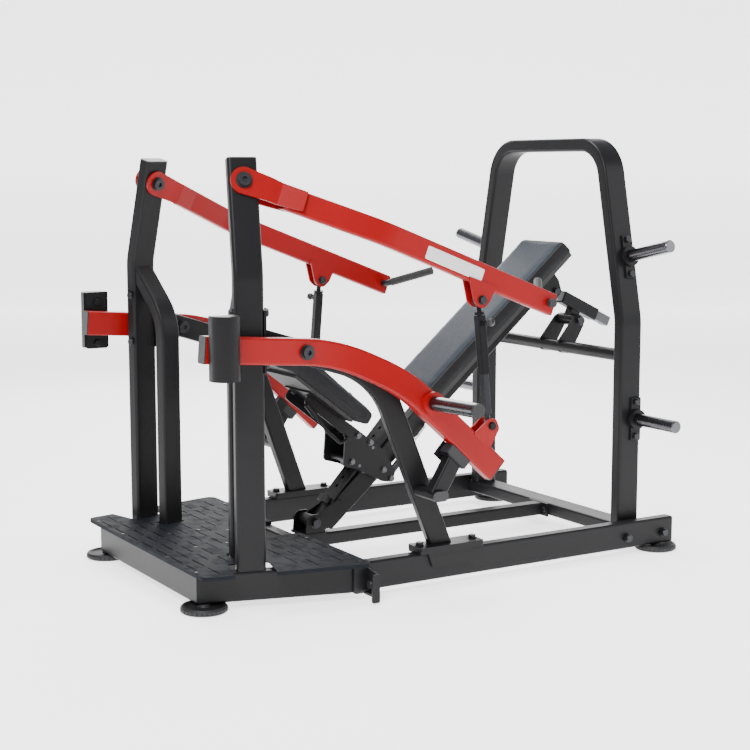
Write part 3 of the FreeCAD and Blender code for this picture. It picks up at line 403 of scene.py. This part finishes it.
def welt(name, pad, corners, radius, bulge):
    """Piping: a round profile carried along a closed, rounded outline laid on the pad."""
    line = np.array([list(c) for c in corners])
    steps = np.linspace(0, 1, 60, endpoint=False)[:, None]
    sides = [line[i] + (line[(i + 1) % len(line)] - line[i]) * steps for i in range(len(line))]
    path = np.concatenate(sides)
    for _ in range(4):
        path = (np.roll(path, 1, 0) + 2 * path + np.roll(path, -1, 0)) / 4
    tree = BVHTree.FromPolygons(
        [v.co for v in pad.data.vertices], [p.vertices for p in pad.data.polygons]
    )
    hits = [tree.find_nearest(Vector(point)) for point in path]
    path = np.array([list(hit[0]) for hit in hits])
    out = np.array([list(hit[1]) for hit in hits])
    for _ in range(2):
        path = (np.roll(path, 1, 0) + 2 * path + np.roll(path, -1, 0)) / 4
    path = path + out * bulge
    along = np.roll(path, -1, 0) - np.roll(path, 1, 0)
    along /= np.linalg.norm(along, axis=1, keepdims=True)
    out = out - along * np.sum(out * along, 1, keepdims=True)
    out /= np.linalg.norm(out, axis=1, keepdims=True)
    side = np.cross(along, out)
    turn = np.linspace(0, 2 * np.pi, 10, endpoint=False)
    ring = out[:, None] * np.cos(turn)[None, :, None] + side[:, None] * np.sin(turn)[None, :, None]
    vertices = (path[:, None] + ring * radius).reshape(-1, 3)
    rows, columns = np.meshgrid(np.arange(len(path)), np.arange(10), indexing="ij")
    next_row = (rows + 1) % len(path)
    next_column = (columns + 1) % 10
    faces = np.stack(
        [rows * 10 + columns, rows * 10 + next_column,
         next_row * 10 + next_column, next_row * 10 + columns], -1
    ).reshape(-1, 4)
    return mesh_object(name, vertices, faces)


def bench_point(s, p, y):
    """Point of the backrest: s up the bench and p off its back, from the middle of the pad's back."""
    return BACK_MIDDLE + UP_BENCH * s + OFF_BENCH * p + Vector((0, y, 0))


BACK_MIDDLE = Vector((0.459, 0.0, 0.8645))
PAD_THICK = 0.070
back_pad = stuffed("backrest_cushion", "backrest_pad", OFF_BENCH, BACK_MIDDLE, 0.0045)
back_pad.data.materials.append(vinyl(
    "backrest_vinyl", (0.016, 0.022, 0.031), (0.006, 0.006, 0.007), OFF_BENCH,
    bench_point(0, PAD_THICK - 0.014, 0),
))
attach(back_pad, "bench")
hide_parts("backrest_pad")

rim = PAD_THICK - 0.012
back_welt = welt(
    "backrest_welt", back_pad,
    [bench_point(-0.436, rim, -0.132), bench_point(0.413, rim, -0.132),
     bench_point(0.413, rim, 0.132), bench_point(-0.436, rim, 0.132)],
    0.0022, 0.0006,
)
piping = moulded("vinyl_piping", (0.016, 0.016, 0.017), 0.42, 900)
back_welt.data.materials.append(piping)
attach(back_welt, "bench")

# Seat: the same make, thicker at the front where the cover rolls over the edge.
SEAT_LINE = Vector((-270, 0, 206)).normalized()
OFF_SEAT = Vector((SEAT_LINE.z, 0, -SEAT_LINE.x))
SEAT_BACK = Vector((-0.231, 0, 0.5407))
seat = stuffed("seat_cushion", "seat_pad", OFF_SEAT, SEAT_BACK, 0.006)
seat_middle = SEAT_BACK + OFF_SEAT * 0.058
seat.data.materials.append(vinyl(
    "seat_vinyl", (0.010, 0.011, 0.014), (0.005, 0.005, 0.006), OFF_SEAT, seat_middle
))
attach(seat, "seat")
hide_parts("seat_pad")


def seat_point(s, p, y):
    return SEAT_BACK + SEAT_LINE * s + OFF_SEAT * p + Vector((0, y, 0))


seat_welt = welt(
    "seat_welt", seat,
    [seat_point(0.060, 0.066, -0.133), seat_point(0.395, 0.062, -0.133),
     seat_point(0.395, 0.062, 0.133), seat_point(0.060, 0.066, 0.133)],
    0.0022, 0.0006,
)
seat_welt.data.materials.append(piping)
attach(seat_welt, "seat")

# Blank labels: white film stuck along the outer face of each upper arm, left
# plain and with a soft gloss.


def film(name, base):
    label = Recipe(name, Coat_Weight=0.6)
    fibre = label.noise(240, 3)
    colour = label.mix(fibre, tuple(c * 0.93 for c in base), base)
    return label.finish(colour, 0.24 + fibre * 0.1, fibre, 0.0001, 0.3)


def patch(name, corner, along, up, thickness):
    """Thin rounded sheet: a superellipse grid between two edge vectors."""
    u, v = np.meshgrid(np.linspace(-1, 1, 33), np.linspace(-1, 1, 17), indexing="ij")
    pull = 1 - 0.015 * (u ** 8) * (v ** 8)
    flat = np.array(corner)[None, None] + 0.5 * (
        (u * pull + 1)[..., None] * np.array(along) + (v * pull + 1)[..., None] * np.array(up)
    )
    rows, columns = np.meshgrid(np.arange(32), np.arange(16), indexing="ij")
    faces = np.stack(
        [rows * 17 + columns, (rows + 1) * 17 + columns,
         (rows + 1) * 17 + columns + 1, rows * 17 + columns + 1], -1
    ).reshape(-1, 4)
    made = mesh_object(name, flat.reshape(-1, 3), faces)
    solid = made.modifiers.new("thickness", "SOLIDIFY")
    solid.thickness = thickness
    solid.offset = 0.0
    return made


ARM_SLOPE = Vector((0.9326, 0, -0.3609))
ARM_UP = Vector((0.3609, 0, 0.9326))
for side, sign in (("left", -1), ("right", 1)):
    start = Vector((-0.215, 0.5913 * sign, 1.1840)) - ARM_UP * 0.026
    label = patch(f"arm_label_{side}", start, ARM_SLOPE * 0.250, ARM_UP * 0.046, 0.0006)
    label.data.materials.append(film(f"white_film_{side}", (0.72, 0.72, 0.71)))
    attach(label, f"upper_arm_body_{side}")

# Floor: a pale seamless sweep, with large soft boxes around and above.


def sweep(width, depth, rise):
    """Floor that turns up behind: a quarter circle joins the level and the upright part."""
    t = np.linspace(0, 1, 90)
    radius = 1.5
    level = np.clip(t / 0.6, 0, 1) * (depth - radius)
    bend = np.clip((t - 0.6) / 0.25, 0, 1) * np.pi / 2
    up = np.clip((t - 0.85) / 0.15, 0, 1) * rise
    run = level + np.sin(bend) * radius
    height = (1 - np.cos(bend)) * radius + up
    side = np.linspace(-width, width, 12)
    back = np.array([0.513, 0.848]) / np.hypot(0.513, 0.848)
    right = np.array([back[1], -back[0]])
    place = (run[:, None, None] - 8.0) * back + side[None, :, None] * right
    vertices = np.concatenate([place, np.broadcast_to(height[:, None, None], (90, 12, 1))], -1)
    rows, columns = np.meshgrid(np.arange(89), np.arange(11), indexing="ij")
    faces = np.stack(
        [rows * 12 + columns, rows * 12 + columns + 1,
         (rows + 1) * 12 + columns + 1, (rows + 1) * 12 + columns], -1
    ).reshape(-1, 4)
    return mesh_object("studio_floor", vertices.reshape(-1, 3), faces)


floor = sweep(14, 20, 6)
paper = Recipe("studio_paper", Emission_Color=(1, 1, 1, 1), Emission_Strength=1.9)
tooth = paper.noise(60, 3)
paper_white = paper.mix(tooth, (0.93, 0.93, 0.935), (0.96, 0.96, 0.96))
floor.data.materials.append(paper.finish(paper_white, 0.9 + tooth * 0.05))


def soft_box(name, place, aim, size, power):
    light = bpy.data.lights.new(name, "AREA")
    light.shape = "SQUARE"
    light.size = size
    light.energy = power
    made = bpy.data.objects.new(name, light)
    made.location = place
    made.rotation_euler = (Vector(aim) - Vector(place)).to_track_quat("-Z", "Y").to_euler()
    bpy.context.scene.collection.objects.link(made)


soft_box("key", (-3.6, -3.2, 4.4), (0, 0, 0.7), 2.0, 330)
soft_box("fill", (3.8, -3.6, 2.6), (0, 0, 0.7), 2.6, 70)
soft_box("top", (0.2, 0.6, 4.8), (0, 0, 0.6), 2.4, 240)
soft_box("rim", (1.5, 4.2, 3.0), (0, 0, 0.9), 2.2, 120)

world = bpy.data.worlds.new("studio")
world.use_nodes = True
world.node_tree.nodes["Background"].inputs["Color"].default_value = (0.93, 0.95, 1.0, 1)
world.node_tree.nodes["Background"].inputs["Strength"].default_value = 0.45
bpy.context.scene.world = world

lens = bpy.data.cameras.new("camera")
lens.lens = 74.8
lens.sensor_width = 36
camera = bpy.data.objects.new("camera", lens)
camera.location = (-3.113, -5.039, 1.461)
azimuth = math.radians(-31.17)
level = math.radians(7.54)
camera.rotation_euler = (math.pi / 2 - level, 0, azimuth)
bpy.context.scene.collection.objects.link(camera)
bpy.context.scene.camera = camera
